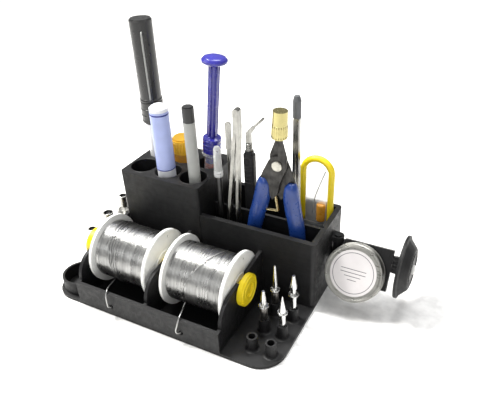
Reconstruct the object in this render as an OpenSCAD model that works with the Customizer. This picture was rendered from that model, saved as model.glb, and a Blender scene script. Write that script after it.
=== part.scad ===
// Soldering iron bench stand: a low printed base that carries two solder spools,
// soldering tips, spare barrels, a pen block, a tool bin and a swing-out tin arm.
// Lengths are in millimetres. +Z is up, -Y is the front and +X is the tin arm's side.
// The origin is the middle of the base plate's underside.

/* [Base plate] */
// Width of the base plate
base_w = 177; // [170:1:190]
// Depth of the base plate
base_d = 114; // [114:1:120]
// Thickness of the base plate
base_t = 2.5; // [2:0.5:4]
// Corner radius at the cup
corner_left_r = 15; // [12:1:18]
// Corner radius beside the tips
corner_right_r = 18; // [10:1:20]

/* [Spool cradle] */
// Height of the front wall above the bench
front_wall_h = 19; // [15:0.5:22]
// Thickness of the front wall and the fins
fin_t = 2.4; // [2:0.2:3]
// Distance from fin to fin
fin_pitch = 55.7; // [55.2:0.1:57]
// Height of the spindle's centre line
spindle_z = 28.5; // [28:0.5:30]
// Distance of the spindle behind the front wall's face
spindle_y = 34.5; // [33:0.5:36]
// Diameter of the spindle
spindle_d = 10; // [8:0.5:11]

/* [Solder spools] */
// Flange diameter
flange_d = 49; // [44:1:50]
// Length over the flanges
spool_l = 46; // [40:1:48]
// Diameter of the wound solder
winding_d = 41; // [30:1:44]
// Diameter of the solder wire
wire_d = 1; // [0.6:0.1:1.2]

/* [Pen block] */
// Width of the pen block
block_w = 65; // [65:1:70]
// Height of the pen block above the bench
block_h = 76; // [70:1:84]
// Distance of the organiser's front face behind the base's front edge
organiser_y = 62; // [62:1:64]
// Diameter of a pen hole
pen_hole_d = 19; // [17:0.5:19.5]
// Distance from hole to hole along a row
pen_pitch = 21; // [20.5:0.5:21]

/* [Tool bin] */
// Width of the tool bin
bin_w = 85; // [80:1:90]
// Height of the tool bin above the bench
bin_h = 55; // [50:1:60]
// Wall thickness of the tool bin
bin_wall = 3.6; // [2.4:0.2:4]
// Thickness of the loose divider
divider_t = 2; // [1.6:0.2:2.4]

/* [Tin arm] */
// Angle that the arm's plate leans back by
arm_tilt = 28; // [20:1:32]
// Height of the plate's top edge above the bench
arm_top_z = 41; // [38:1:44]
// Height of the plate along its slope
arm_plate_h = 28; // [24:1:30]
// Diameter of the tin
tin_d = 39; // [36:1:40]
// Depth of the closed tin
tin_depth = 11; // [9:0.5:13]
// Diameter of the end dish
dish_d = 42; // [38:1:46]

/* [Hidden] */
$fn = 64;

// The inner frame starts at the pen block's left face and the base's front edge.
base_x0 = -27;
base_x1 = base_x0 + base_w;
centre_x = (base_x0 + base_x1) / 2;
centre_y = base_d / 2;
bin_x0 = block_w;
bin_x1 = bin_x0 + bin_w;
organiser_d = base_d - organiser_y;
fin_x = [for (i = [0:2]) -1.1 + i * fin_pitch];
spool_x = [fin_x[0] + fin_t + 4, fin_x[2] - spool_l - 0.6];
spool_bore_r = spindle_d / 2 + 0.6;
flange_t = 2;
fin_set_back = 4.1;
fin_top_r = 16.3;
fin_top_z = 35.7;
fin_back_z = 40;
notch_gap = 0.3;
park_x = [28, 84.5];
park_z = 8;
park_r = 1.6;
cup_centre = [-12, 15.5];
cup_r = 13;
cup_h = 10;
socket_x = [129, 142];
socket_y = [13, 30, 47];
socket_top = 13;
socket_r = 3.5;
socket_bore_r = 2.3;
shank_r = 2.05;
barrel_x = -18.5;
barrel_y = [41, 60, 79];
barrel_foot = [14.5, 17.5, 22];
barrel_r = [2.9, 3.7, 2.9];
barrel_l = 18.5;
peg_r = 2.2;
hole_rows = [75.5, 98.5];
hole_cols = [for (i = [0:2]) 11.5 + i * pen_pitch];
hole_floor = 5;
pen_foot = hole_floor + 0.2;
divider_y = 82.5;
bin_floor = 2;
tool_foot = base_t + bin_floor + 0.2;
hinge_x = bin_x1 + 3.8;
hinge_y = 97;
hinge_r = 4;
ear_z = [24, 38];
ear_h = 4;
plate_x0 = hinge_x + 5.4;
plate_x1 = 192.6;
plate_t = 4;
tin_x = 171.5;
tin_drop = 19.4;
dish_hinge_x = plate_x1 + 2.8;
dish_drop = 9;
dish_x = dish_hinge_x + 3.4;
marker_at = [9.4, 96.5];
highlighter_at = [31.6, 75];
liner_at = [55.6, 74.2];
wick_at = [hole_cols[1] - 1, hole_rows[1]];
syringe_foot = [46.1, hole_rows[1], hole_floor + 0.5];
syringe_lean = 6.7;
scraper_at = [72.8, 78];
spatula_at = [75, 90];
hook_at = [88, 95];
fine_at = [124, 92];
tweezers_top = [91.7, 74, 133.5];
cutter_at = [119, 75, 100];
cutter_lean = 2.5;
half_y = 1.1;
half_t = 1.6;
rivet_r = 2.45;
case_at = [133.4, 106];
case_r = 12.6;

module placed() {
    translate([-centre_x, -centre_y, 0]) children();
}

// A rectangle from p to q with all its corners rounded.
module round_rect(p, q, r) {
    translate([p[0] + r, p[1]]) square([q[0] - p[0] - 2 * r, q[1] - p[1]]);
    translate([p[0], p[1] + r]) square([q[0] - p[0], q[1] - p[1] - 2 * r]);
    for (x = [p[0] + r, q[0] - r], y = [p[1] + r, q[1] - r]) translate([x, y]) circle(r);
}

// A flat bar of width w with round ends, from p to q.
module bar_2d(p, q, w) {
    v = q - p;
    translate(p) rotate(atan2(v[1], v[0])) translate([0, -w / 2]) square([norm(v), w]);
    for (e = [p, q]) translate(e) circle(w / 2);
}

// Stands a drawing made in X and Y upright in the XZ plane, t thick about y.
module upright(y, t) {
    translate([0, y + t / 2, 0]) rotate([90, 0, 0]) linear_extrude(t) children();
}

// Rods along +Z and along +X.
module rod(at, r, h) {
    translate(at) cylinder(r = r, h = h);
}

module rod_x(at, r, h) {
    translate(at) rotate([0, 90, 0]) cylinder(r = r, h = h);
}

// ---- Stand ----

module base_outline() {
    polygon([
        [base_x0 + corner_left_r, 0], [base_x1 - corner_right_r, 0], [base_x1, corner_right_r],
        [base_x1, base_d], [base_x0 + corner_left_r, base_d],
        [base_x0, base_d - corner_left_r], [base_x0, corner_left_r]
    ]);
    for (y = [corner_left_r, base_d - corner_left_r])
        translate([base_x0 + corner_left_r, y]) circle(corner_left_r);
    translate([base_x1 - corner_right_r, corner_right_r]) circle(corner_right_r);
}

// A peg with a concave flared foot and a shoulder that one spare barrel rests on.
module barrel_peg(i) {
    flare_r = 7.6;
    neck_r = 4.4;
    step = flare_r - neck_r;
    shoulder = barrel_foot[i] - base_t;
    translate([barrel_x, barrel_y[i], base_t]) rotate_extrude() difference() {
        square([flare_r, shoulder]);
        translate([flare_r, step]) circle(step);
        translate([neck_r, step]) square([step + 1, shoulder]);
    }
    rod([barrel_x, barrel_y[i], base_t], peg_r, shoulder + barrel_l - 3);
}

module base_plate() {
    color([0.05, 0.05, 0.055]) difference() {
        union() {
            linear_extrude(base_t) base_outline();
            rod([cup_centre[0], cup_centre[1], 0], cup_r, base_t + cup_h);
            for (x = socket_x, y = socket_y) rod([x, y, 0], socket_r, socket_top);
            for (i = [0:2]) barrel_peg(i);
        }
        rod([cup_centre[0], cup_centre[1], base_t], cup_r - 1.6, cup_h + 1);
        for (x = socket_x, y = socket_y) rod([x, y, base_t], socket_bore_r, socket_top);
        // Room for the first fin, which closes the cup's side.
        translate([fin_x[0], 0, base_t]) cube([fin_t, organiser_y, cup_h + 1]);
    }
}

// Side outline of one fin: front edge, rounded shoulder, spindle notch and rear web.
module fin_outline() {
    notch_r = spindle_d / 2 + notch_gap;
    difference() {
        union() {
            polygon([
                [0, base_t], [0, front_wall_h], [fin_set_back, front_wall_h],
                [fin_set_back + fin_top_r, fin_top_z],
                [organiser_y, fin_back_z], [organiser_y, base_t]
            ]);
            translate([fin_set_back + fin_top_r, fin_top_z - fin_top_r]) circle(fin_top_r);
        }
        translate([-1, -1]) square([organiser_y + 2, base_t + 1]);
        translate([spindle_y, spindle_z]) circle(notch_r);
        translate([spindle_y - notch_r, spindle_z]) square([2 * notch_r, fin_back_z]);
    }
}

module spool_cradle() {
    color([0.06, 0.06, 0.065]) difference() {
        union() {
            for (x = fin_x)
                translate([x, 0, 0]) rotate([90, 0, 90]) linear_extrude(fin_t) fin_outline();
            translate([fin_x[0], 0, base_t])
                cube([fin_x[2] + fin_t - fin_x[0], fin_t, front_wall_h - base_t]);
        }
        for (x = park_x)
            translate([x, -1, park_z]) rotate([-90, 0, 0]) cylinder(r = park_r, h = fin_t + 2);
    }
}

module pen_block() {
    color([0.05, 0.05, 0.055]) difference() {
        translate([0, 0, base_t]) linear_extrude(block_h - base_t)
            round_rect([0, organiser_y], [block_w, base_d], 2);
        for (x = hole_cols, y = hole_rows) rod([x, y, hole_floor], pen_hole_d / 2, block_h);
    }
}

module hinge_ear(z, h) {
    rod([hinge_x, hinge_y, z], hinge_r, h);
    translate([bin_x1 - 1, hinge_y - hinge_r, z]) cube([hinge_x - bin_x1 + 1, 2 * hinge_r, h]);
}

module tool_bin() {
    inner_x1 = bin_x1 - bin_wall;
    groove = 1;
    color([0.05, 0.05, 0.055]) difference() {
        union() {
            translate([0, 0, base_t]) linear_extrude(bin_h - base_t) union() {
                round_rect([bin_x0, organiser_y], [bin_x1, base_d], 3);
                translate([bin_x0, organiser_y]) square([10, organiser_d]);
            }
            for (z = ear_z) hinge_ear(z, ear_h);
        }
        translate([bin_x0 - 1, organiser_y + bin_wall, base_t + bin_floor])
            cube([inner_x1 - bin_x0 + 1, organiser_d - 2 * bin_wall, bin_h]);
        translate([inner_x1 - 1, divider_y - 0.1, base_t + bin_floor])
            cube([groove + 1, divider_t + 0.2, bin_h]);
        rod([hinge_x, hinge_y, 0], 1.6, bin_h);
    }
}

module bin_divider() {
    color([0.08, 0.08, 0.085]) translate([bin_x0 + 0.1, divider_y, base_t + bin_floor])
        cube([bin_w - bin_wall + 0.8, divider_t, bin_h - base_t - bin_floor - 1]);
}

// ---- Spindle and spools ----

spindle_x0 = fin_x[0] - 4.6;
spindle_x1 = fin_x[2] + fin_t + 0.6;
disc_r = 10.9;
disc_t = 4;

module spindle_disc(x) {
    rod_x([x, spindle_y, spindle_z], disc_r, disc_t - 1);
    rod_x([x + 0.5, spindle_y, spindle_z], disc_r - 1, disc_t - 1);
}

module spindle() {
    color([0.93, 0.82, 0.08]) difference() {
        union() {
            rod_x([spindle_x0, spindle_y, spindle_z], spindle_d / 2, spindle_x1 - spindle_x0 + 1);
            spindle_disc(spindle_x1);
        }
        rod_x([spindle_x1 + disc_t - 1.5, spindle_y, spindle_z], 4.5, 3);
    }
}

module spindle_cap() {
    color([0.93, 0.82, 0.08]) rod_x([spindle_x0 - disc_t, spindle_y, spindle_z], disc_r, disc_t);
}

module spool(x) {
    color([0.93, 0.93, 0.92]) translate([x, spindle_y, spindle_z]) rotate([0, 90, 0])
        difference() {
            union() {
                cylinder(r = 9, h = spool_l);
                for (z = [0, spool_l - flange_t]) translate([0, 0, z])
                    cylinder(r = flange_d / 2, h = flange_t);
            }
            translate([0, 0, -1]) cylinder(r = spool_bore_r, h = spool_l + 2);
            for (a = [40, 160, 280]) rotate(a) translate([flange_d / 2 - 5, 0, -1])
                cylinder(r = 1, h = spool_l + 2);
        }
}

module winding(x) {
    color([0.72, 0.72, 0.73]) translate([x + flange_t, spindle_y, spindle_z]) rotate([0, 90, 0])
        difference() {
            cylinder(r = winding_d / 2, h = spool_l - 2 * flange_t);
            translate([0, 0, -1]) cylinder(r = 9, h = spool_l);
        }
}

module spool_left() { spool(spool_x[0]); }
module winding_left() { winding(spool_x[0]); }
module spool_right() { spool(spool_x[1]); }
module winding_right() { winding(spool_x[1]); }

// Routes of the two free wire ends, from the winding over the front wall into a parking hole.
tail_left_route = [
    [21, 15.4, 18.2], [21.8, 12, 18.4], [23, 8, 19.4], [24.6, 4, 20.6], [26, 0.8, 20.6],
    [26.8, -1.4, 18.4], [27.2, -2.2, 15], [27.2, -2.2, 11.6], [27.2, -1.8, 9],
    [28, 0.4, 8], [28, 3.6, 8], [28, 7, 7.4]
];
tail_right_route = [
    [80, 14.4, 20.6], [81, 11, 20.4], [82.4, 7.4, 20.8], [83.6, 3.8, 21.2], [84.2, 0.8, 20.6],
    [84.2, -1.4, 18.2], [83.6, -2.2, 15], [82.6, -2.4, 11.4], [82.8, -1.8, 8.8],
    [84.2, 0.4, 8], [84.5, 3.6, 8], [84.5, 7, 7.4]
];

// One ring of a tube about p, square to direction d.
function ring(p, d, r, n) =
    let (
        w = d / norm(d),
        side = cross(w, [0, 0.2, 1]),
        u = side / norm(side),
        v = cross(w, u)
    )
    [for (i = [0:n - 1]) p + r * (cos(360 * i / n) * u + sin(360 * i / n) * v)];

// A smooth point at parameter t between points b and c of a route.
function smooth(a, b, c, d, t) =
    0.5 * (2 * b + (c - a) * t + (2 * a - 5 * b + 4 * c - d) * t * t
        + (3 * b - a - 3 * c + d) * t * t * t);

function route_point(pts, i, t) =
    let (last = len(pts) - 1)
    smooth(pts[max(i - 1, 0)], pts[i], pts[min(i + 1, last)], pts[min(i + 2, last)], t);

module tube(pts, d) {
    sides = 8;
    steps = 2;
    path = concat(
        [for (i = [0:len(pts) - 2], k = [0:steps - 1]) route_point(pts, i, k / steps)],
        [pts[len(pts) - 1]]
    );
    last = len(path) - 1;
    rings = [for (i = [0:last])
        ring(path[i], path[min(i + 1, last)] - path[max(i - 1, 0)], d / 2, sides)];
    polyhedron(
        points = [for (r = rings) each r],
        faces = concat(
            [[for (k = [0:sides - 1]) k]],
            [for (i = [0:last - 1], k = [0:sides - 1])
                [i * sides + k, (i + 1) * sides + k,
                 (i + 1) * sides + (k + 1) % sides, i * sides + (k + 1) % sides]],
            [[for (k = [sides - 1:-1:0]) last * sides + k]]
        )
    );
}

module tail_left() { color([0.72, 0.72, 0.73]) tube(tail_left_route, wire_d); }
module tail_right() { color([0.72, 0.72, 0.73]) tube(tail_right_route, wire_d); }

// ---- Soldering tips and spare barrels ----

// A tip is a shank in its socket, a collar and a pointed end, turned as one piece.
module tip(col, row, collar_z, profile) {
    color([0.8, 0.8, 0.8]) translate([socket_x[col], socket_y[row], 0]) rotate_extrude()
        polygon(concat(
            [[0, base_t + 0.2], [shank_r, base_t + 0.2], [shank_r, collar_z],
             [2.9, collar_z], [2.9, collar_z + 1]],
            [for (p = profile) [p[0], collar_z + p[1]]],
            [[0, collar_z + profile[len(profile) - 1][1]]]
        ));
}

module tip_bevel() { tip(0, 1, 23.5, [[1.9, 1], [1.7, 7], [0.9, 12.5]]); }
module tip_long() { tip(0, 2, 23.5, [[1.6, 1], [1.5, 8], [0.9, 18], [0.6, 20]]); }
module tip_cone() { tip(1, 1, 23, [[2.4, 1], [0.3, 13.5]]); }
module tip_knife() { tip(1, 2, 24, [[1.7, 1], [1.7, 6], [2.4, 6], [2.4, 8], [1.3, 14], [1, 16]]); }

// A spare barrel: a thin tube with a flared nut at its foot.
module barrel(i) {
    r = barrel_r[i];
    bore = peg_r + 0.05;
    color([0.78, 0.78, 0.76]) translate([barrel_x, barrel_y[i], barrel_foot[i]]) rotate_extrude()
        polygon([[bore, 0], [6.3, 0], [6.6, 0.8], [6.6, 4.5], [5.2, 7], [r, 9], [r, barrel_l],
                 [r - 0.5, barrel_l], [r - 0.5, barrel_l - 2], [bore, barrel_l - 2.5]]);
}

module barrel_front() { barrel(0); }
module barrel_middle() { barrel(1); }
module barrel_rear() { barrel(2); }

// ---- Tin arm ----

// Puts its children in the plate's own frame: X along the arm, Y through it, Z up the slope.
module on_plate() {
    translate([0, hinge_y, arm_top_z]) rotate([-arm_tilt, 0, 0]) children();
}

module arm_bracket() {
    knuckle_r = hinge_r - 0.5;
    knuckle_z = ear_z[0] + ear_h + 0.3;
    knuckle_h = ear_z[1] - ear_z[0] - ear_h - 0.6;
    dish_ear_h = 3;
    color([0.05, 0.05, 0.055]) difference() {
        union() {
            rod([hinge_x, hinge_y, knuckle_z], knuckle_r, knuckle_h);
            translate([hinge_x, hinge_y - knuckle_r, knuckle_z])
                cube([plate_x0 - hinge_x + 1.5, knuckle_r + 3, knuckle_h]);
            on_plate() translate([plate_x0, -plate_t / 2, -arm_plate_h])
                cube([plate_x1 - plate_x0, plate_t, arm_plate_h]);
            on_plate() for (z = [-3.3, 3.3]) {
                rod([dish_hinge_x, 0, -dish_drop + z - dish_ear_h / 2], 2.6, dish_ear_h);
                translate([plate_x1 - 1, -2, -dish_drop + z - dish_ear_h / 2])
                    cube([dish_hinge_x - plate_x1 + 1, 4, dish_ear_h]);
            }
        }
        rod([hinge_x, hinge_y, 0], 1.55, bin_h);
        on_plate() rod([dish_hinge_x, 0, -arm_plate_h], 1.05, arm_plate_h);
        on_plate() translate([tin_x, -plate_t / 2 - 1, -tin_drop]) rotate([-90, 0, 0])
            cylinder(r = 6.1, h = 3);
    }
}

module arm_pin() {
    color([0.7, 0.7, 0.7]) {
        rod([hinge_x, hinge_y, ear_z[0] - 0.4], 1.5, ear_z[1] + ear_h + 0.4 - ear_z[0]);
        rod([hinge_x, hinge_y, ear_z[1] + ear_h], 2.6, 1);
    }
}

module arm_magnet() {
    color([0.75, 0.75, 0.77]) on_plate() translate([tin_x, -plate_t / 2, -tin_drop])
        rotate([-90, 0, 0]) cylinder(r = 6, h = 1.9);
}

// The tin's parts share one profile frame: Z runs out of the plate's front face.
module on_tin() {
    on_plate() translate([tin_x, -plate_t / 2 - 0.05, -tin_drop]) rotate([90, 0, 0]) children();
}

module tin_body() {
    wall = 0.5;
    r = tin_d / 2 - 1;
    color([0.78, 0.78, 0.77]) on_tin() rotate_extrude()
        polygon([[0, 0], [r, 0], [r, tin_depth - 1.2], [r - wall, tin_depth - 1.2],
                 [r - wall, wall], [0, wall]]);
}

module tin_lid() {
    wall = 0.5;
    r = tin_d / 2;
    top = tin_depth;
    color([0.78, 0.78, 0.77]) on_tin() rotate_extrude()
        polygon([[0, top - wall], [r - 2.5, top - wall], [r - 2.5, top - 1], [r - 0.45, top - 1],
                 [r - 0.45, top - 7], [r, top - 7], [r, top - 0.4], [r - 0.4, top],
                 [r - 1.8, top], [r - 2.2, top - 0.2], [0, top - 0.2]]);
}

module tin_label() {
    color([0.95, 0.94, 0.93]) on_tin() translate([0, 0, tin_depth - 0.2])
        cylinder(r = tin_d / 2 - 4, h = 0.25);
}

// The dish is a shallow bowl on its side: its open mouth faces the arm.
module end_dish() {
    r = dish_d / 2;
    color([0.05, 0.05, 0.055]) on_plate() difference() {
        union() {
            translate([dish_x, 0, -dish_drop]) rotate([0, 90, 0]) rotate_extrude()
                polygon([[0, 5.4], [r - 8, 5.4], [r - 3.4, 1.6], [r - 3.4, 0], [r, 0], [r, 1.6],
                         [r - 2, 2.4], [r - 6.4, 6.6], [r - 7.4, 7.2], [0, 7.2]]);
            rod([dish_hinge_x, 0, -dish_drop - 1.6], 2.6, 3.2);
            translate([dish_hinge_x, -2, -dish_drop - 1.6]) cube([dish_x + 6 - dish_hinge_x, 4, 3.2]);
        }
        rod([dish_hinge_x, 0, -arm_plate_h], 1.05, arm_plate_h);
    }
}

module dish_pin() {
    color([0.7, 0.7, 0.7]) on_plate() rod([dish_hinge_x, 0, -dish_drop - 5.2], 1, 10.4);
}

module dish_button() {
    color([0.92, 0.92, 0.91]) on_plate() translate([dish_x + 7.2, 0, -dish_drop])
        rotate([0, 90, 0]) intersection() {
            cylinder(r = 3.2, h = 2.4);
            translate([0, 0, -5]) sphere(7);
        }
}

// ---- Pens and tubes in the pen block ----

module marker_body() {
    color([0.94, 0.94, 0.93]) rod([marker_at[0], marker_at[1], pen_foot], 6.3, 101 - pen_foot);
}

module marker_collar() {
    color([0.06, 0.06, 0.06]) translate([marker_at[0], marker_at[1], 101]) {
        cylinder(r = 6, h = 1.5);
        translate([0, 0, 1.5]) cylinder(r = 8.1, h = 15.5);
    }
}

module marker_cap() {
    clip_turn = -55;
    color([0.06, 0.06, 0.06]) translate([marker_at[0], marker_at[1], 118.2]) {
        cylinder(r = 7.7, h = 56);
        translate([0, 0, 56]) cylinder(r1 = 7.7, r2 = 6.9, h = 1);
        rotate(clip_turn) {
            translate([8.2, -1.5, 2]) cube([1.2, 3, 46]);
            translate([5, -1.5, 44]) cube([4, 3, 4]);
        }
    }
}

module highlighter_body() {
    color([0.93, 0.93, 0.95])
        rod([highlighter_at[0], highlighter_at[1], pen_foot], 6.4, 79 - pen_foot);
}

module highlighter_barrel() {
    color([0.6, 0.63, 0.82]) rod([highlighter_at[0], highlighter_at[1], 79], 6.5, 43);
}

module highlighter_cap() {
    color([0.95, 0.95, 0.96]) translate([highlighter_at[0], highlighter_at[1], 122.1])
        intersection() {
            cylinder(r = 6.4, h = 4.7);
            translate([0, 0, -4.3]) sphere(9.1);
        }
}

module liner_body() {
    color([0.62, 0.62, 0.6]) rod([liner_at[0], liner_at[1], pen_foot], 4.1, 118.5 - pen_foot);
}

module liner_end() {
    color([0.1, 0.1, 0.1]) translate([liner_at[0], liner_at[1], 118.5]) {
        cylinder(r = 4, h = 10);
        translate([0, 0, 10]) cylinder(r = 3.2, h = 0.8);
    }
}

module wick_tube() {
    color([0.55, 0.38, 0.08]) rod([wick_at[0], wick_at[1], pen_foot], 7.8, 81 - pen_foot);
}

module wick_cap() {
    color([0.95, 0.75, 0.2]) translate([wick_at[0], wick_at[1], 81.1]) {
        cylinder(r = 8.1, h = 10);
        translate([0, 0, 10]) cylinder(r = 7, h = 1.4);
    }
}

// The syringe leans: its own Z runs up its axis from the tip of its nozzle.
module on_syringe() {
    translate(syringe_foot) rotate([0, syringe_lean, 0]) children();
}

module syringe_barrel() {
    color([0.85, 0.85, 0.85, 0.5]) on_syringe() rotate_extrude()
        polygon([[0, 0], [0.9, 0], [1.5, 24], [3.2, 26], [3.2, 30], [5, 31], [5, 79], [6.9, 79],
                 [6.9, 81], [4.3, 81], [4.3, 32], [0, 32]]);
}

module syringe_paste() {
    color([0.6, 0.12, 0.12]) on_syringe() rod([0, 0, 32.1], 4.2, 40);
}

module syringe_plunger() {
    color([0.1, 0.1, 0.5]) on_syringe() rotate_extrude()
        polygon([[0, 72.2], [4.25, 72.2], [4.25, 76], [2.4, 76], [2.4, 81.2], [6.4, 81.2], [6.4, 92],
                 [3.3, 93], [3.3, 146.4], [7.6, 146.4], [8.7, 147.4], [8.7, 148.6], [7.6, 149.8],
                 [4, 150.4], [0, 150.4]]);
}

// ---- Hand tools in the bin ----

module scraper_shaft() {
    color([0.2, 0.2, 0.2]) rod([scraper_at[0], scraper_at[1], tool_foot], 2.2, 80 - tool_foot);
}

module scraper_grip() {
    color([0.9, 0.9, 0.88]) translate([scraper_at[0], scraper_at[1], 80]) {
        cylinder(r1 = 3.1, r2 = 2.4, h = 20.5);
        translate([0, 0, 20.5]) cylinder(r1 = 2.4, r2 = 1.6, h = 1.5);
    }
}

// Outline of tweezers, tips down: two arms part from the joined head.
module tweezers_outline(head, head_w, head_h, feet, arm_w) {
    half = head_w / 2;
    fork = head[1] - head_h;
    polygon([
        head + [-half + 1, 0], head + [half - 1, 0], head + [half, -1], [head[0] + half, fork],
        [feet[1] + arm_w / 2, tool_foot], [feet[1] - arm_w / 2, tool_foot],
        [head[0], fork - 4],
        [feet[0] + arm_w / 2, tool_foot], [feet[0] - arm_w / 2, tool_foot],
        [head[0] - half, fork], head + [-half, -1]
    ]);
}

module straight_tweezers() {
    color([0.7, 0.7, 0.68]) upright(tweezers_top[1], 4.5)
        tweezers_outline([tweezers_top[0], tweezers_top[2]], 4, 12, [76, 86], 1.8);
}

module spatula() {
    color([0.4, 0.4, 0.4]) upright(spatula_at[1], 1.2) {
        bar_2d([spatula_at[0], tool_foot + 1.5], [spatula_at[0], 96], 3);
        bar_2d([spatula_at[0], 96], [spatula_at[0] + 0.4, 113], 4.4);
    }
}

module hook_grip() {
    color([0.07, 0.07, 0.075]) translate([hook_at[0], hook_at[1], tool_foot]) {
        linear_extrude(87) round_rect([-4, -3], [4, 3], 2);
        translate([0, 0, 87]) linear_extrude(2.5) round_rect([-3, -2.4], [3, 2.4], 1.8);
    }
}

// The shank rises from the grip, then bends over to a fine point.
module hook_shank() {
    foot_z = tool_foot + 89.5;
    points = [[88, foot_z + 1.75], [88, 107], [91, 111], [98.8, 119]];
    color([0.75, 0.75, 0.74]) {
        rod([hook_at[0], hook_at[1], foot_z], 2, 6);
        upright(hook_at[1], 2.4) {
            for (i = [0:2]) bar_2d(points[i], points[i + 1], [3.4, 3, 1.8][i]);
        }
    }
}

module fine_tweezers() {
    color([0.72, 0.72, 0.71]) upright(fine_at[1], 3.5)
        tweezers_outline([fine_at[0], 125.8], 3.8, 10, [fine_at[0] - 2.4, fine_at[0] + 2.4], 1.4);
}

module fine_cap() {
    color([0.35, 0.35, 0.36]) translate([fine_at[0], fine_at[1], 125.9]) {
        cylinder(r = 2.7, h = 11);
        translate([0, 0, 11]) cylinder(r1 = 2.7, r2 = 1.8, h = 3);
    }
}

// Outline of the left handle's moulded grip, in the cutter's own plane.
module grip_outline() {
    polygon([[-12.4, -11], [-7.6, -12], [-4.6, -21], [-5.4, -29], [-9.1, -43], [-12, -60],
             [-13.8, -88], [-15.5, -91], [-19, -91], [-20.8, -88], [-22, -60], [-20.1, -43],
             [-17.9, -31], [-15.6, -20]]);
}

// Outline of the half with the left handle: its jaw crosses over the pivot to the right.
module half_outline() {
    difference() {
        union() {
            polygon([[1.2, 32], [0.2, 32], [0.2, 6], [-5.8, 3], [-9.4, -5], [-11.6, -11], [-7.6, -12],
                     [-4.6, -21], [-4.2, -23.5], [-2.6, -25.5], [0.8, -21], [2.4, -12], [5.8, -2],
                     [6.2, 6], [2, 19]]);
            circle(6.4);
        }
        grip_outline();
    }
}

module on_cutter() {
    translate(cutter_at) rotate([0, cutter_lean, 0]) children();
}

// One half of the cutter, half_t thick about y, with its pivot hole.
module cutter_half(y) {
    difference() {
        upright(y, half_t) half_outline();
        translate([0, 5, 0]) rotate([90, 0, 0]) cylinder(r = rivet_r + 0.05, h = 10);
    }
}

module cutter_left() {
    color([0.1, 0.1, 0.1]) on_cutter() cutter_half(-half_y);
}

module cutter_right() {
    color([0.1, 0.1, 0.1]) on_cutter() mirror([1, 0, 0]) cutter_half(half_y);
}

// The moulded handle below one half of the cutter.
module grip(side) {
    color([0.05, 0.13, 0.42]) on_cutter() mirror([side, 0, 0]) upright(0, 8.6) grip_outline();
}

module grip_left() { grip(0); }
module grip_right() { grip(1); }

// The rivet's heads: the front one sits on the left half, the rear one clears the right half.
module cutter_rivet() {
    face = half_y + half_t / 2;
    color([0.8, 0.79, 0.76]) on_cutter() rotate([90, 0, 0]) {
        translate([0, 0, -face - 0.1]) cylinder(r = rivet_r, h = 2 * face + 0.1);
        translate([0, 0, face]) cylinder(r = 3.4, h = 0.9);
        translate([0, 0, -face - 1]) cylinder(r = 3.4, h = 0.9);
    }
}

// The bent return spring, in the plane of the left half.
module cutter_spring() {
    color([0.75, 0.62, 0.25]) on_cutter() upright(-half_y, half_t - 0.2)
        polygon([[-1, -23.4], [-0.2, -22.35], [1.8, -33.6], [-6.94, -34.9], [-6.72, -34.05],
                 [0.8, -32.9]]);
}

module jaw_sleeve() {
    color([0.72, 0.6, 0.32]) on_cutter() translate([0, 0, 19]) difference() {
        cylinder(r1 = 4.9, r2 = 4.6, h = 17.5);
        translate([0, 0, -1]) cylinder(r1 = 4.4, r2 = 4.1, h = 17.5);
    }
}

module case_outline(r, foot) {
    translate([case_at[0], 82]) circle(r);
    translate([case_at[0] - r, foot]) square([2 * r, 82 - foot]);
}

module case_rim() {
    color([0.95, 0.84, 0.1]) upright(case_at[1], 4.4) difference() {
        case_outline(case_r, 42);
        case_outline(case_r - 4.8, 41);
    }
}

module case_body() {
    color([0.9, 0.9, 0.88, 0.5]) {
        upright(case_at[1], 1.6) case_outline(case_r - 4.85, 42);
        upright(case_at[1], 3) translate([case_at[0] - 11.5, tool_foot])
            square([23, 42 - tool_foot]);
    }
}

placed() base_plate();
placed() spool_cradle();
placed() pen_block();
placed() tool_bin();
placed() bin_divider();
placed() spindle();
placed() spindle_cap();
placed() spool_left();
placed() winding_left();
placed() spool_right();
placed() winding_right();
placed() tail_left();
placed() tail_right();
placed() tip_bevel();
placed() tip_long();
placed() tip_cone();
placed() tip_knife();
placed() barrel_front();
placed() barrel_middle();
placed() barrel_rear();
placed() arm_bracket();
placed() arm_pin();
placed() arm_magnet();
placed() tin_body();
placed() tin_lid();
placed() tin_label();
placed() end_dish();
placed() dish_pin();
placed() dish_button();
placed() marker_body();
placed() marker_collar();
placed() marker_cap();
placed() highlighter_body();
placed() highlighter_barrel();
placed() highlighter_cap();
placed() liner_body();
placed() liner_end();
placed() wick_tube();
placed() wick_cap();
placed() syringe_barrel();
placed() syringe_paste();
placed() syringe_plunger();
placed() scraper_shaft();
placed() scraper_grip();
placed() straight_tweezers();
placed() spatula();
placed() hook_grip();
placed() hook_shank();
placed() fine_tweezers();
placed() fine_cap();
placed() cutter_left();
placed() cutter_right();
placed() grip_left();
placed() grip_right();
placed() cutter_rivet();
placed() cutter_spring();
placed() jaw_sleeve();
placed() case_rim();
placed() case_body();
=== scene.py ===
"""Looks of the soldering iron stand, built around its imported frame. Lengths are in metres."""

import math
import random

import bpy
from mathutils import Matrix, Vector


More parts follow.
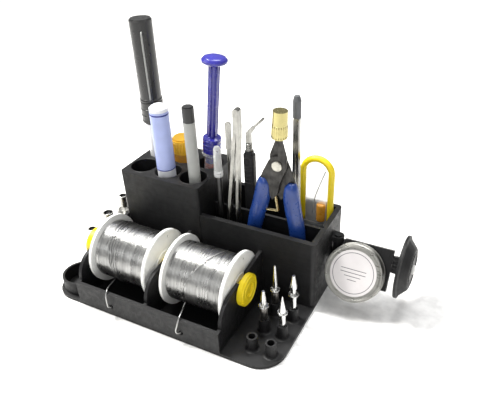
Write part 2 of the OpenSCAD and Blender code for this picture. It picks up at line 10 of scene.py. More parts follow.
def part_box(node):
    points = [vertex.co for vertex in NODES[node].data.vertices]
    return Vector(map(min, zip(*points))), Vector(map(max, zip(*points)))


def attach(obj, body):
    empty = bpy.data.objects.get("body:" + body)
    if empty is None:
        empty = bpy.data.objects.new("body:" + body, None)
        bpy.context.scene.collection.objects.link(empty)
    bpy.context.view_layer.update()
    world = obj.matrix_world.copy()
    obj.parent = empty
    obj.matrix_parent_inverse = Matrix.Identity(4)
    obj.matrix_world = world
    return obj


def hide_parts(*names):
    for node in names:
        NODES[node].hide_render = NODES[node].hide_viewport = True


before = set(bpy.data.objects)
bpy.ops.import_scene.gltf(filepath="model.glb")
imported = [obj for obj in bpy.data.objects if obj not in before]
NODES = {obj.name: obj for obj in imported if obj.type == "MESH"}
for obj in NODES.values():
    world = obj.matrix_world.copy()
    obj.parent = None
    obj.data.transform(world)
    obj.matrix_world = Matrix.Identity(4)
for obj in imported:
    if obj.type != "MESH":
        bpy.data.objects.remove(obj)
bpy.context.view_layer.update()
MM = 0.001
random.seed(7)

# The stand's own measuring corner, from which part.scad's inner places count.
CORNER = Vector((-61.5, -57.0, 0.0)) * MM


def place(x, y, z):
    """A point of part.scad's inner frame, given in millimetres."""
    return CORNER + Vector((x, y, z)) * MM


# ---------------------------------------------------------------- camera, floor, light

def make_camera():
    azimuth, elevation, roll = map(math.radians, (28.72, 33.0, -2.47))
    forward = Vector((-math.sin(azimuth) * math.cos(elevation),
                      math.cos(azimuth) * math.cos(elevation), -math.sin(elevation)))
    right = Vector((math.cos(azimuth), math.sin(azimuth), 0))
    up = right.cross(forward)
    x_axis = right * math.cos(roll) + up * math.sin(roll)
    y_axis = up * math.cos(roll) - right * math.sin(roll)
    data = bpy.data.cameras.new("camera")
    data.lens = 39.25
    data.sensor_width = 36
    data.clip_start = 0.01
    camera = bpy.data.objects.new("camera", data)
    turn = Matrix((x_axis, y_axis, -forward)).transposed().to_4x4()
    camera.matrix_world = Matrix.Translation(place(245.9, -195.6, 263.4)) @ turn
    bpy.context.collection.objects.link(camera)
    bpy.context.scene.camera = camera


def add_light(name, at, towards, size, power, colour=(1, 1, 1)):
    data = bpy.data.lights.new(name, "AREA")
    data.shape = "DISK"
    data.size = size
    data.energy = power
    data.color = colour
    light = bpy.data.objects.new(name, data)
    light.location = at
    light.rotation_euler = (Vector(towards) - Vector(at)).to_track_quat("-Z", "Y").to_euler()
    bpy.context.collection.objects.link(light)


def make_stage():
    mesh = bpy.data.meshes.new("floor")
    half = 4.0
    mesh.from_pydata([(-half, -half, 0), (half, -half, 0), (half, half, 0), (-half, half, 0)],
                     [], [(0, 1, 2, 3)])
    floor = bpy.data.objects.new("floor", mesh)
    bpy.context.collection.objects.link(floor)
    mesh.materials.append(plastic("floor_paper", (0.86, 0.855, 0.845), 0.8, grain=0.0))
    world = bpy.data.worlds.new("studio")
    bpy.context.scene.world = world
    world.use_nodes = True
    background = world.node_tree.nodes["Background"]
    background.inputs["Color"].default_value = (1.0, 1.0, 1.0, 1)
    # Dim walls and a brighter ceiling, so that metal shows light and dark bands.
    coords = world.node_tree.nodes.new("ShaderNodeTexCoord")
    split = world.node_tree.nodes.new("ShaderNodeSeparateXYZ")
    height = world.node_tree.nodes.new("ShaderNodeMapRange")
    world.node_tree.links.new(coords.outputs["Generated"], split.inputs["Vector"])
    world.node_tree.links.new(split.outputs["Z"], height.inputs["Value"])
    height.inputs["From Min"].default_value = 0.0
    height.inputs["From Max"].default_value = 0.9
    height.inputs["To Min"].default_value = 0.24
    height.inputs["To Max"].default_value = 0.62
    world.node_tree.links.new(height.outputs["Result"], background.inputs["Strength"])
    add_light("key", (-0.5, 0.0, 1.0), (0, 0, 0.02), 0.3, 21, (1.0, 0.99, 0.96))
    add_light("front", (0.25, -0.9, 0.55), (0, 0, 0.04), 0.45, 2.6)
    add_light("top", (0.1, 0.45, 1.2), (0, 0, 0.04), 0.7, 10)
    bpy.context.scene.view_settings.view_transform = "Standard"


# ---------------------------------------------------------------- materials

class Shader:
    """A Principled material and short ways to wire its textures."""

    def __init__(self, name, colour, roughness, metallic=0.0):
        self.material = bpy.data.materials.new(name)
        self.material.use_nodes = True
        self.tree = self.material.node_tree
        self.main = self.tree.nodes["Principled BSDF"]
        self.main.inputs["Base Color"].default_value = (*colour, 1)
        self.main.inputs["Roughness"].default_value = roughness
        self.main.inputs["Metallic"].default_value = metallic
        self.coords = self.add("ShaderNodeTexCoord").outputs["Object"]

    def add(self, kind):
        return self.tree.nodes.new(kind)

    def link(self, output, target):
        self.tree.links.new(output, target)

    def noise(self, scale, detail=2.0, stretch=(1, 1, 1)):
        mapping = self.add("ShaderNodeMapping")
        mapping.inputs["Scale"].default_value = stretch
        self.link(self.coords, mapping.inputs["Vector"])
        texture = self.add("ShaderNodeTexNoise")
        texture.inputs["Scale"].default_value = scale
        texture.inputs["Detail"].default_value = detail
        self.link(mapping.outputs["Vector"], texture.inputs["Vector"])
        return texture.outputs["Fac"]

    def layers(self, pitch, axis="Z"):
        texture = self.add("ShaderNodeTexWave")
        texture.bands_direction = axis
        texture.inputs["Scale"].default_value = math.pi / (10 * pitch)
        texture.inputs["Distortion"].default_value = 0.3
        texture.inputs["Detail"].default_value = 1.0
        self.link(self.coords, texture.inputs["Vector"])
        return texture.outputs["Fac"]

    def ramp(self, factor, stops):
        node = self.add("ShaderNodeValToRGB")
        ramp = node.color_ramp
        for index, (position, colour) in enumerate(stops):
            element = ramp.elements[index] if index < 2 else ramp.elements.new(position)
            element.position = position
            element.color = (*colour, 1)
        self.link(factor, node.inputs["Fac"])
        return node.outputs["Color"]

    def colour(self, factor, low, high, start=0.3, end=0.7):
        self.link(self.ramp(factor, [(start, low), (end, high)]), self.main.inputs["Base Color"])

    def rough(self, factor, low, high):
        node = self.add("ShaderNodeMapRange")
        node.inputs["From Min"].default_value = 0.3
        node.inputs["From Max"].default_value = 0.7
        node.inputs["To Min"].default_value = low
        node.inputs["To Max"].default_value = high
        self.link(factor, node.inputs["Value"])
        self.link(node.outputs["Result"], self.main.inputs["Roughness"])

    def bump(self, heights):
        """heights lists (factor, distance in metres)."""
        previous = None
        for factor, distance in heights:
            node = self.add("ShaderNodeBump")
            node.inputs["Distance"].default_value = distance
            node.inputs["Strength"].default_value = 1.0
            self.link(factor, node.inputs["Height"])
            if previous:
                self.link(previous.outputs["Normal"], node.inputs["Normal"])
            previous = node
        self.link(previous.outputs["Normal"], self.main.inputs["Normal"])


def shade(colour, factor):
    return tuple(min(1.0, c * factor) for c in colour)


def plastic(name, colour, roughness, grain=0.00001, spread=0.12, coat=0.0):
    """Moulded plastic: a slight mottle in colour and gloss, and a fine grain."""
    s = Shader(name, colour, roughness)
    mottle = s.noise(140, 4)
    s.colour(mottle, shade(colour, 1 - spread), shade(colour, 1 + spread))
    s.rough(s.noise(420, 3), roughness * 0.85, roughness * 1.2)
    if grain:
        s.bump([(s.noise(2600, 2), grain)])
    s.main.inputs["Coat Weight"].default_value = coat
    return s.material


def printed(name, colour, axis="Z"):
    """Printed plastic: layer lines, slow bands between layers, and a fine grain."""
    s = Shader(name, colour, 0.5)
    bands = s.noise(90, 3, (0.06, 0.06, 9) if axis == "Z" else (9, 0.06, 0.06))
    s.colour(bands, shade(colour, 0.72), shade(colour, 1.5))
    s.rough(s.noise(260, 3), 0.4, 0.6)
    s.bump([(s.layers(0.0004, axis), 0.000035), (bands, 0.00005), (s.noise(1800, 2), 0.00001)])
    s.main.inputs["Specular IOR Level"].default_value = 0.3
    return s.material


def metal(name, colour, roughness, stretch=(1, 1, 1), brushed=900, depth=0.000008, wear=0.75):
    """Metal with brushing along the long side of stretch, and cloudy dull patches."""
    s = Shader(name, colour, roughness, 1.0)
    strokes = s.noise(brushed, 3, stretch)
    s.colour(s.noise(220, 4), shade(colour, wear), colour)
    s.rough(strokes, roughness * 0.7, roughness * 1.5)
    s.bump([(strokes, depth)])
    return s.material


def clear(name, colour, roughness, alpha):
    s = Shader(name, colour, roughness)
    s.rough(s.noise(300, 2), roughness * 0.6, roughness * 1.6)
    s.bump([(s.noise(500, 2), 0.00001)])
    s.main.inputs["Transmission Weight"].default_value = 0.6
    s.main.inputs["IOR"].default_value = 1.25
    s.main.inputs["Alpha"].default_value = alpha
    return s.material


def solder_wire(name):
    """Bright tin-lead wire: light and dark turns, with soft cloudy oxide."""
    s = Shader(name, (0.62, 0.62, 0.61), 0.3, 1.0)
    turns = s.noise(700, 2, (1, 0.02, 0.02))
    s.colour(turns, (0.33, 0.33, 0.325), (0.50, 0.50, 0.49))
    s.rough(s.noise(300, 3, (1, 0.2, 0.2)), 0.24, 0.34)
    return s.material


BLACK = printed("printed_black", (0.0058, 0.0058, 0.0064))
BLACK_ARM = printed("printed_black_arm", (0.0062, 0.0062, 0.0068), "X")
YELLOW = plastic("yellow_plastic", (0.78, 0.60, 0.01), 0.38, spread=0.08)
SPOOL = plastic("spool_white", (0.80, 0.80, 0.775), 0.4, spread=0.05)
WIRE = solder_wire("solder_wire")
TIP = metal("tip_plating", (0.74, 0.74, 0.73), 0.2, (1, 1, 0.1))
# A darker steel, for the lower shanks of two tips.
TIP_DARK = metal("tip_darker_steel", (0.20, 0.19, 0.18), 0.35, (1, 1, 0.1))
BARREL = metal("barrel_steel", (0.62, 0.61, 0.57), 0.32, (1, 1, 0.08), wear=0.6)
PIN = metal("pin_steel", (0.62, 0.60, 0.53), 0.38)
TIN = metal("tin_aluminium", (0.36, 0.355, 0.33), 0.34, (0.2, 1, 1), 600, wear=0.85)
LABEL = plastic("tin_label_paper", (0.66, 0.63, 0.63), 0.6, grain=0.000004, spread=0.03)
INK = plastic("label_rules", (0.10, 0.10, 0.11), 0.6)
BUTTON = plastic("button_white", (0.75, 0.75, 0.73), 0.4)
WHITE_GLOSS = plastic("marker_white", (0.82, 0.82, 0.83), 0.25, spread=0.03, coat=0.3)
BLACK_GLOSS = plastic("marker_black", (0.006, 0.006, 0.006), 0.3, spread=0.3, coat=0.25)
LAVENDER = plastic("lavender", (0.37, 0.43, 0.73), 0.35, spread=0.05)
DARK_BLUE = plastic("dark_blue", (0.02, 0.03, 0.22), 0.3)
PEN_WHITE = plastic("pen_white", (0.78, 0.79, 0.83), 0.35, spread=0.04)
# The liner's grey body; also the marker clip's painted highlight.
LINER_GREY = plastic("liner_grey", (0.33, 0.335, 0.32), 0.35, spread=0.06)
# The liner's black end; also used as painted shade lining the spare barrels' bores.
LINER_BLACK = plastic("liner_black", (0.015, 0.015, 0.016), 0.35)
AMBER = plastic("amber", (0.60, 0.27, 0.03), 0.3, spread=0.2, coat=0.4)
AMBER_CAP = plastic("amber_cap", (0.88, 0.50, 0.03), 0.35)
CLEAR = clear("clear_plastic", (0.93, 0.94, 0.95), 0.12, 0.38)
FROSTED = clear("frosted_panel", (0.88, 0.89, 0.88), 0.4, 0.55)
FROSTED_GRIP = clear("frosted_grip", (0.80, 0.81, 0.80), 0.4, 0.85)
PASTE = plastic("flux_paste", (0.42, 0.035, 0.02), 0.25, spread=0.3, coat=0.6)
PLUNGER = plastic("plunger_blue", (0.022, 0.020, 0.26), 0.24, spread=0.1, coat=0.4)
TOOL_STEEL = metal("tool_steel", (0.38, 0.375, 0.35), 0.26, (1, 1, 0.06), wear=0.7)
TOOL_DARK = metal("tool_dark", (0.10, 0.10, 0.10), 0.4, (1, 1, 0.1))
TOOL_GREY = plastic("tool_grey", (0.10, 0.105, 0.11), 0.4)
GRIP_BLACK = plastic("grip_black", (0.009, 0.009, 0.010), 0.55, grain=0.00003, spread=0.3)
BLUE_GRIP = plastic("grip_blue", (0.010, 0.042, 0.21), 0.3, spread=0.12, coat=0.15)
GUNMETAL = metal("cutter_steel", (0.075, 0.073, 0.07), 0.4, (1, 1, 0.2), wear=0.5)
BRASS = metal("sleeve_brass", (0.50, 0.44, 0.20), 0.2, (1, 1, 0.1), wear=0.8)
SPRING = metal("spring_brass", (0.60, 0.50, 0.28), 0.3)

NODE_MATERIALS = {
    "base_plate": BLACK, "spool_cradle": BLACK, "pen_block": BLACK, "tool_bin": BLACK,
    "bin_divider": BLACK, "arm_bracket": BLACK_ARM, "end_dish": BLACK_ARM,
    "spindle": YELLOW, "spindle_cap": YELLOW, "spool_left": SPOOL, "spool_right": SPOOL,
    "winding_left": WIRE, "winding_right": WIRE, "tip_bevel": TIP, "tip_long": TIP,
    "tip_cone": TIP, "tip_knife": TIP, "barrel_front": BARREL, "barrel_middle": BARREL,
    "barrel_rear": BARREL, "arm_pin": BLACK_ARM, "arm_magnet": PIN, "tin_body": TIN, "tin_lid": TIN,
    "tin_label": LABEL, "dish_pin": PIN, "dish_button": BUTTON, "marker_body": WHITE_GLOSS,
    "marker_collar": BLACK_GLOSS, "marker_cap": BLACK_GLOSS, "highlighter_body": PEN_WHITE,
    "highlighter_barrel": LAVENDER, "highlighter_cap": PEN_WHITE, "liner_body": LINER_GREY,
    "liner_end": LINER_BLACK, "wick_tube": AMBER, "wick_cap": AMBER_CAP,
    "syringe_barrel": CLEAR, "syringe_paste": PASTE, "syringe_plunger": PLUNGER,
    "scraper_shaft": TOOL_DARK, "scraper_grip": FROSTED_GRIP, "straight_tweezers": TOOL_STEEL,
    "spatula": TOOL_STEEL, "hook_grip": GRIP_BLACK, "hook_shank": TOOL_STEEL,
    "fine_tweezers": TOOL_STEEL, "fine_cap": TOOL_GREY, "cutter_left": GUNMETAL,
    "cutter_right": GUNMETAL, "grip_left": BLUE_GRIP, "grip_right": BLUE_GRIP,
    "cutter_rivet": PIN, "cutter_spring": SPRING, "jaw_sleeve": BRASS, "case_rim": YELLOW,
    "case_body": FROSTED, "tail_left": WIRE, "tail_right": WIRE,
}
# Widths of the rounded edges, in mm.
SOFT_EDGES = {
    "base_plate": 0.5, "spool_cradle": 0.4, "pen_block": 0.5, "tool_bin": 0.4,
    "bin_divider": 0.3, "arm_bracket": 0.4, "end_dish": 0.4, "spool_left": 0.5,
    "spool_right": 0.5, "spindle": 0.5, "spindle_cap": 0.5, "hook_grip": 0.5,
    "tin_lid": 0.15, "syringe_plunger": 0.4, "highlighter_body": 0.3, "wick_cap": 0.4,
    "case_rim": 0.8, "straight_tweezers": 0.25, "fine_tweezers": 0.25, "spatula": 0.25,
    "cutter_left": 0.35, "cutter_right": 0.35, "hook_shank": 0.25, "jaw_sleeve": 0.15,
    "cutter_rivet": 0.4, "marker_cap": 0.3, "scraper_grip": 0.3, "fine_cap": 0.3,
}


def dress_nodes():
    """Gives each CAD node its material, and those in SOFT_EDGES a small rounded edge."""
    for name, node in NODES.items():
        node.data.materials.clear()
        node.data.materials.append(NODE_MATERIALS[name])
        if name in SOFT_EDGES:
            bevel = node.modifiers.new("edge", "BEVEL")
            bevel.width = SOFT_EDGES[name] * MM
            bevel.segments = 2
            bevel.limit_method = "ANGLE"
            bevel.angle_limit = math.radians(40)
            bevel.harden_normals = False


# ---------------------------------------------------------------- mesh tools

def new_piece(name, verts, faces, material, body, smooth=True):
    mesh = bpy.data.meshes.new(name)
    mesh.from_pydata([tuple(v) for v in verts], [], faces)
    mesh.update()
    if smooth:
        mesh.shade_smooth()
    piece = bpy.data.objects.new(name, mesh)
    bpy.context.collection.objects.link(piece)
    mesh.materials.append(material)
    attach(piece, body)
    return piece


def basis(axis):
    """Two directions square to axis."""
    axis = Vector(axis).normalized()
    side = axis.cross(Vector((0, 0, 1)) if abs(axis.z) < 0.9 else Vector((1, 0, 0))).normalized()
    return side, axis.cross(side)


def ring_quads(rings, sides):
    """The faces between rings of verts that follow each other."""
    quads = []
    for i in range(rings - 1):
        for k in range(sides):
            n = (k + 1) % sides
            quads.append((i * sides + k, i * sides + n, (i + 1) * sides + n, (i + 1) * sides + k))
    return quads


def lathe(name, origin, axis, profile, material, body, sides=64, ends=(True, True)):
    """Turns a profile of (along, radius) pairs, in metres, about a line."""
    axis = Vector(axis).normalized()
    u, v = basis(axis)
    verts = []
    for along, radius in profile:
        centre = Vector(origin) + axis * along
        for k in range(sides):
            a = 2 * math.pi * k / sides
            verts.append(centre + (u * math.cos(a) + v * math.sin(a)) * radius)
    faces = ring_quads(len(profile), sides)
    last = (len(profile) - 1) * sides
    if ends[0]:
        faces.append(tuple(range(sides - 1, -1, -1)))
    if ends[1]:
        faces.append(tuple(last + k for k in range(sides)))
    return new_piece(name, verts, faces, material, body)


def smooth_path(points, steps=6):
    """A Catmull-Rom line through the points."""
    points = [Vector(p) for p in points]
    path = []
    for i in range(len(points) - 1):
        a, b = points[max(i - 1, 0)], points[i]
        c, d = points[i + 1], points[min(i + 2, len(points) - 1)]
        for k in range(steps):
            t = k / steps
            path.append(0.5 * (2 * b + (c - a) * t + (2 * a - 5 * b + 4 * c - d) * t * t
                               + (3 * b - a - 3 * c + d) * t ** 3))
    path.append(points[-1])
    return path


def tube(name, points, radii, material, body, steps=6, sides=20, flat=(1, 1), across=(0, 1, 0)):
    """A closed tube along a smooth line. radii gives one radius for each point. flat scales the
    section along across and square to it."""
    path = smooth_path(points, steps)
    spread = smooth_path([(r, 0, 0) for r in radii], steps)
    verts = []
    for i, centre in enumerate(path):
        ahead = (path[min(i + 1, len(path) - 1)] - path[max(i - 1, 0)]).normalized()
        u = (Vector(across) - ahead * ahead.dot(Vector(across))).normalized()
        v = ahead.cross(u)
        for k in range(sides):
            a = 2 * math.pi * k / sides
            verts.append(centre + (u * math.cos(a) * flat[0] + v * math.sin(a) * flat[1])
                         * spread[i].x)
    faces = ring_quads(len(path), sides)
    last = (len(path) - 1) * sides
    faces.append(tuple(range(sides - 1, -1, -1)))
    faces.append(tuple(last + k for k in range(sides)))
    return new_piece(name, verts, faces, material, body)


def rounded(length, radius, edge, start=0.0, arc=4):
    """A lathe profile of a solid rod with rounded rims."""
    profile = [(start, radius - edge)]
    for k in range(1, arc + 1):
        a = math.pi / 2 * k / arc
        profile.append((start + edge * (1 - math.cos(a)), radius - edge + edge * math.sin(a)))
    for k in range(arc + 1):
        a = math.pi / 2 * k / arc
        profile.append((start + length - edge + edge * math.sin(a),
                        radius - edge + edge * math.cos(a)))
    return profile


# ---------------------------------------------------------------- solder spools

SPINDLE_Y, SPINDLE_Z = 34.5, 28.5
WIRE_D = 1.0 * MM
WOUND_R = 20.5 * MM
# How far the ends of the wound layer reach down below its turns.
WOUND_DEPTH = 0.0030
STRAND_R = 0.00042
# The wire's tails: places in mm from the spool down to the parking hole.
TAIL_LEFT = [
    (21, 15.4, 18.2), (21.8, 12, 18.4), (23, 8, 19.4), (24.6, 4, 20.6), (26, 0.8, 20.6),
    (26.8, -1.4, 18.4), (27.2, -2.2, 15), (27.2, -2.2, 11.6), (27.2, -1.8, 9),
    (28, 0.4, 8), (28, 3.6, 8), (28, 7, 7.4),
]
TAIL_RIGHT = [
    (80, 14.4, 20.6), (81, 11, 20.4), (82.4, 7.4, 20.8), (83.6, 3.8, 21.2), (84.2, 0.8, 20.6),
    (84.2, -1.4, 18.2), (83.6, -2.2, 15), (82.6, -2.4, 11.4), (82.8, -1.8, 8.8),
    (84.2, 0.4, 8), (84.5, 3.6, 8), (84.5, 7, 7.4),
]


def wind(side):
    """The top layer of turns, each one a ridge. Returns its origin, body and left end."""
    low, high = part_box("winding_" + side)
    start, end = low[0], high[0]
    turns = round((end - start) / WIRE_D)
    pitch = (end - start) / turns
    profile = [(start, WOUND_R - WOUND_DEPTH)]
    for turn in range(turns):
        lift = random.uniform(-0.09, 0.0) * MM
        for k in range(5):
            a = math.pi * k / 4
            profile.append((start + pitch * (turn + 0.5 - 0.5 * math.cos(a)),
                            WOUND_R - pitch * 0.5 + lift + pitch * 0.48 * math.sin(a)))
    profile.append((end, WOUND_R - WOUND_DEPTH))
    origin = Vector((0, CORNER.y + SPINDLE_Y * MM, SPINDLE_Z * MM))
    body = side + "_spool"
    piece = lathe("wire_turns_" + side, origin, (1, 0, 0), profile, WIRE, body, 96)
    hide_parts("winding_" + side)
    return origin, body, start


def strand(name, origin, body, x0, x1, from_deg, to_deg):
    """One loose strand laid over the turns, from one place and angle to another."""
    radius = WOUND_R + 0.0003
    points = []
    count = 28
    for k in range(count + 1):
        t = k / count
        a = math.radians(from_deg + (to_deg - from_deg) * t)
        ease = t * t * (3 - 2 * t)
        points.append(origin + Vector((x0 + (x1 - x0) * ease, -radius * math.cos(a),
                                       radius * math.sin(a))))
    tube(name, points, [STRAND_R] * len(points), WIRE, body, 2, 8, across=(1, 0, 0))


def flange_details(side, x_faces):
    """The moulded rim and hub ring on both outer faces of a spool."""
    origin = Vector((0, CORNER.y + SPINDLE_Y * MM, SPINDLE_Z * MM))
    for tag, x, out in x_faces:
        for part, radius, wide in (("rim", 23.4, 0.8), ("hub", 9.5, 0.9)):
            profile = []
            for k in range(9):
                a = math.pi * k / 8
                profile.append((x - out * 0.0002 + out * 0.0006 * math.sin(a),
                                (radius - wide * math.cos(a)) * MM))
            ring = lathe(f"spool_{part}_{side}_{tag}", origin, (1, 0, 0), profile, SPOOL,
                         side + "_spool", 96, (False, False))


def tail(name, route):
    points = [place(*p) for p in route]
    curve = bpy.data.curves.new("wire_" + name, "CURVE")
    curve.dimensions = "3D"
    curve.bevel_depth = WIRE_D / 2
    curve.bevel_resolution = 3
    curve.use_fill_caps = True
    path = smooth_path(points, 3)
    spline = curve.splines.new("POLY")
    spline.points.add(len(path) - 1)
    for target, point in zip(spline.points, path):
        target.co = (*point, 1)
    curve.materials.append(WIRE)
    piece = bpy.data.objects.new("wire_" + name, curve)
    bpy.context.collection.objects.link(piece)
    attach(piece, "stand")
    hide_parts(name)


def make_spools():
    for name, route in (("tail_left", TAIL_LEFT), ("tail_right", TAIL_RIGHT)):
        tail(name, route)
    origin, body, start = wind("left")
    for k, (x0, x1, a0, a1) in enumerate((
            (15.5, 6.5, -50, 122), (17, 9, -60, 128), (17.9, 11, -60, 132),
            (19.5, 14.5, -66, 125))):
        strand(f"loose_turn_left_{k}", origin, body, start + x0 * MM, start + x1 * MM, a0, a1)
    origin, body, start = wind("right")
    strand("loose_turn_right_0", origin, body, start + 13 * MM, start + 30 * MM, -10, 122)
    strand("loose_turn_right_1", origin, body, start + 13 * MM, start + 11 * MM, -10, -80)
    for side in ("left", "right"):
        low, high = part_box("spool_" + side)
        flange_details(side, (("near", low[0], -1), ("far", high[0], 1)))


# ---------------------------------------------------------------- tin arm

TILT = math.radians(28)
PLATE_TOP = place(0, 97, 41)
PLATE_OUT = Vector((0, -math.cos(TILT), math.sin(TILT)))
PLATE_UP = Vector((0, math.sin(TILT), math.cos(TILT)))
# The dish's hinge: along the arm, and up the plate's slope, in mm.
HINGE_X, HINGE_UP = 195.4, -9


def on_plate(x, out, up):
    """A point of the arm's plate: x along the arm, out of its front face, up its slope, in mm."""
    return (Vector((place(x, 0, 0).x, PLATE_TOP.y, PLATE_TOP.z))
            + (PLATE_OUT * out + PLATE_UP * up) * MM)


def make_tin():
    """Rolled rims of the tin and lid, and the ring and rules on its plain label."""
    base = on_plate(171.5, 2.05, -19.4)
    for name, along, radius, wide, body in (
            ("tin_roll_lid", 4.3, 19.45, 0.45, "tin_lid"),
            ("tin_roll_body", 0.6, 18.6, 0.4, "tin"),
            ("tin_roll_step", 10.75, 18.1, 0.35, "tin_lid")):
        profile = []
        for k in range(13):
            a = 2 * math.pi * k / 12
            profile.append(((along - wide * math.cos(a)) * MM, (radius + wide * math.sin(a)) * MM))
        lathe(name, base, PLATE_OUT, profile, TIN, body, 96, (False, False))
    face = 11.06 * MM
    ring = lathe("label_ring", base, PLATE_OUT, [(face, 13.4 * MM), (face, 13.8 * MM)], INK,
                 "tin_lid", 96, (False, False))
    for k, (half, up) in enumerate(((8.5, 2.4), (8.5, 0.0), (5.5, -2.4), (3.0, -4.8))):
        corners = []
        for x, y in ((-half, -0.22), (half, -0.22), (half, 0.22), (-half, 0.22)):
            corners.append(base + PLATE_OUT * face + Vector((x * MM, 0, 0))
                           + PLATE_UP * (up + y) * MM)
        rule = new_piece(f"label_rule_{k}", corners, [(0, 1, 2, 3)], INK, "tin_lid", False)


def make_dish():
    """The stepped ring on the dish's outer face and the ribs of its hinge."""
    hub = on_plate(HINGE_X + 3.4 + 7.2, 0, HINGE_UP)
    ring = lathe("dish_ring", hub, (1, 0, 0),
                 [(-0.0002, 0.0118), (0.0004, 0.0116), (0.0004, 0.0104), (-0.0002, 0.0102)],
                 BLACK_ARM, "dish", 96, (False, False))
    for k in range(5):
        at = on_plate(HINGE_X, 0, HINGE_UP - 5.2 + k * 2.6)
        rib = lathe(f"hinge_rib_{k}", at, PLATE_UP,
                    [(-0.0004, 0.0025), (-0.0002, 0.0029), (0.0002, 0.0029), (0.0004, 0.0025)],
                    BLACK_ARM, "dish" if k == 2 else "arm", 40)


# ---------------------------------------------------------------- pens and tubes

def pen_ring(name, at, z, radius, height, material, body, bulge=0.15):
    """A low raised band round a pen, in mm."""
    profile = [(0, radius * MM), (0.15 * MM, (radius + bulge) * MM),
               ((height - 0.15) * MM, (radius + bulge) * MM), (height * MM, radius * MM)]
    return lathe(name, place(at[0], at[1], z), (0, 0, 1), profile, material, body, 64,
                         (False, False))


# Where the pens stand, in mm.
MARKER = (9.4, 96.5)
HIGHLIGHTER = (31.6, 75)
WICK = (31.5, 98.5)


def make_pens():
    # Marker: raised bands on the collar, a ring at the cap's mouth and a raised clip, coloured
    # light grey as a painted highlight along it.
    for k, z in enumerate((103.2, 107.5, 112.0)):
        pen_ring(f"marker_groove_{k}", MARKER, z, 8.1, 1.2, BLACK_GLOSS, "marker",
                 0.25)
    pen_ring("marker_cap_ring", MARKER, 118.4, 7.7, 2.0, BLACK_GLOSS, "marker_cap",
             0.3)
    turn = math.radians(-55)
    out = Vector((math.cos(turn), math.sin(turn), 0))
    top = place(*MARKER, 0)
    clip = [top + out * away * MM + Vector((0, 0, z)) for away, z in
            ((7.6, 0.168), (9.6, 0.1665), (9.9, 0.160), (9.7, 0.140), (9.5, 0.1215))]
    # The clip's light grey is a painted highlight on the black cap's clip.
    strip = tube("marker_clip", clip, [0.0006] * 5, LINER_GREY, "marker_cap", 5, 14, (1, 0.6),
                 out.cross(Vector((0, 0, 1))))
    # Highlighter: the two dark rings between its colours.
    pen_ring("highlighter_ring_top", HIGHLIGHTER, 119.6, 6.5, 1.1, DARK_BLUE,
             "highlighter")
    pen_ring("highlighter_ring_foot", HIGHLIGHTER, 79.0, 6.5, 0.7, DARK_BLUE,
             "highlighter")
    # Wick tube: ribs round the cap.
    for k in range(24):
        a = 2 * math.pi * k / 24
        at = place(*WICK, 82) + Vector((math.cos(a), math.sin(a), 0)) * 8.1 * MM
        rib = lathe(f"wick_rib_{k}", at, (0, 0, 1),
                    [(0, 0.0003), (0.0004, 0.0005), (0.0076, 0.0005), (0.008, 0.0003)],
                    AMBER_CAP, "wick_cap", 8)


LEAN = math.radians(6.7)
SYRINGE_UP = Vector((math.sin(LEAN), 0, math.cos(LEAN)))
SYRINGE_TIP = place(46.1, 98.5, 5.5)


def make_syringe():
    """The dome of the plunger's thumb disc, the bands on its collar and the ribs of its rod."""
    dome = lathe("plunger_dome", SYRINGE_TIP + SYRINGE_UP * 0.1496, SYRINGE_UP,
                 [(0.0, 0.0074), (0.0006, 0.0066), (0.0010, 0.0050), (0.0012, 0.0030),
                  (0.00125, 0.0004)],
                 PLUNGER, "plunger", 64)
    for k, along in enumerate((0.0838, 0.0868, 0.0898)):
        ring = lathe(f"plunger_groove_{k}", SYRINGE_TIP + SYRINGE_UP * along, SYRINGE_UP,
                     [(0, 0.0064), (0.0002, 0.0067), (0.0009, 0.0067), (0.0011, 0.0064)], PLUNGER,
                     "plunger", 64, (False, False))
    u, v = basis(SYRINGE_UP)
    for k in range(6):
        a = math.pi * k / 3
        side = (u * math.cos(a) + v * math.sin(a)) * 0.0033
        start = SYRINGE_TIP + SYRINGE_UP * 0.094 + side
        end = SYRINGE_TIP + SYRINGE_UP * 0.1462 + side
        rib = tube(f"plunger_rib_{k}", [start, (start + end) / 2, end], [0.0006] * 3, PLUNGER,
                   "plunger", 2, 8, across=side)


# ---------------------------------------------------------------- hand tools

PIVOT = place(119, 75, 100)
CUTTER_LEAN = math.radians(2.5)


def on_cutter(x, y, z):
    """A point of the cutter's own frame, in mm from its pivot."""
    x, z = (x * math.cos(CUTTER_LEAN) + z * math.sin(CUTTER_LEAN),
            z * math.cos(CUTTER_LEAN) - x * math.sin(CUTTER_LEAN))
    return PIVOT + Vector((x, y, z)) * MM


# The moulded grips, per (x, z, half width in x, half depth in y) from the pivot, in mm.
GRIP_LINE = [(10.0, -10.8, 2.2, 2.6), (9.7, -14.5, 4.4, 4.0), (10.2, -22, 5.5, 4.3),
             (11.9, -32, 5.7, 4.3), (14.6, -43, 5.5, 4.3), (16.9, -60, 5.0, 4.2),
             (17.4, -76, 4.3, 4.0), (17.2, -88, 3.6, 3.4), (17.2, -90.6, 2.4, 2.4)]


# Power that squares off the grips' section a little.
GRIP_SQUASH = 0.9


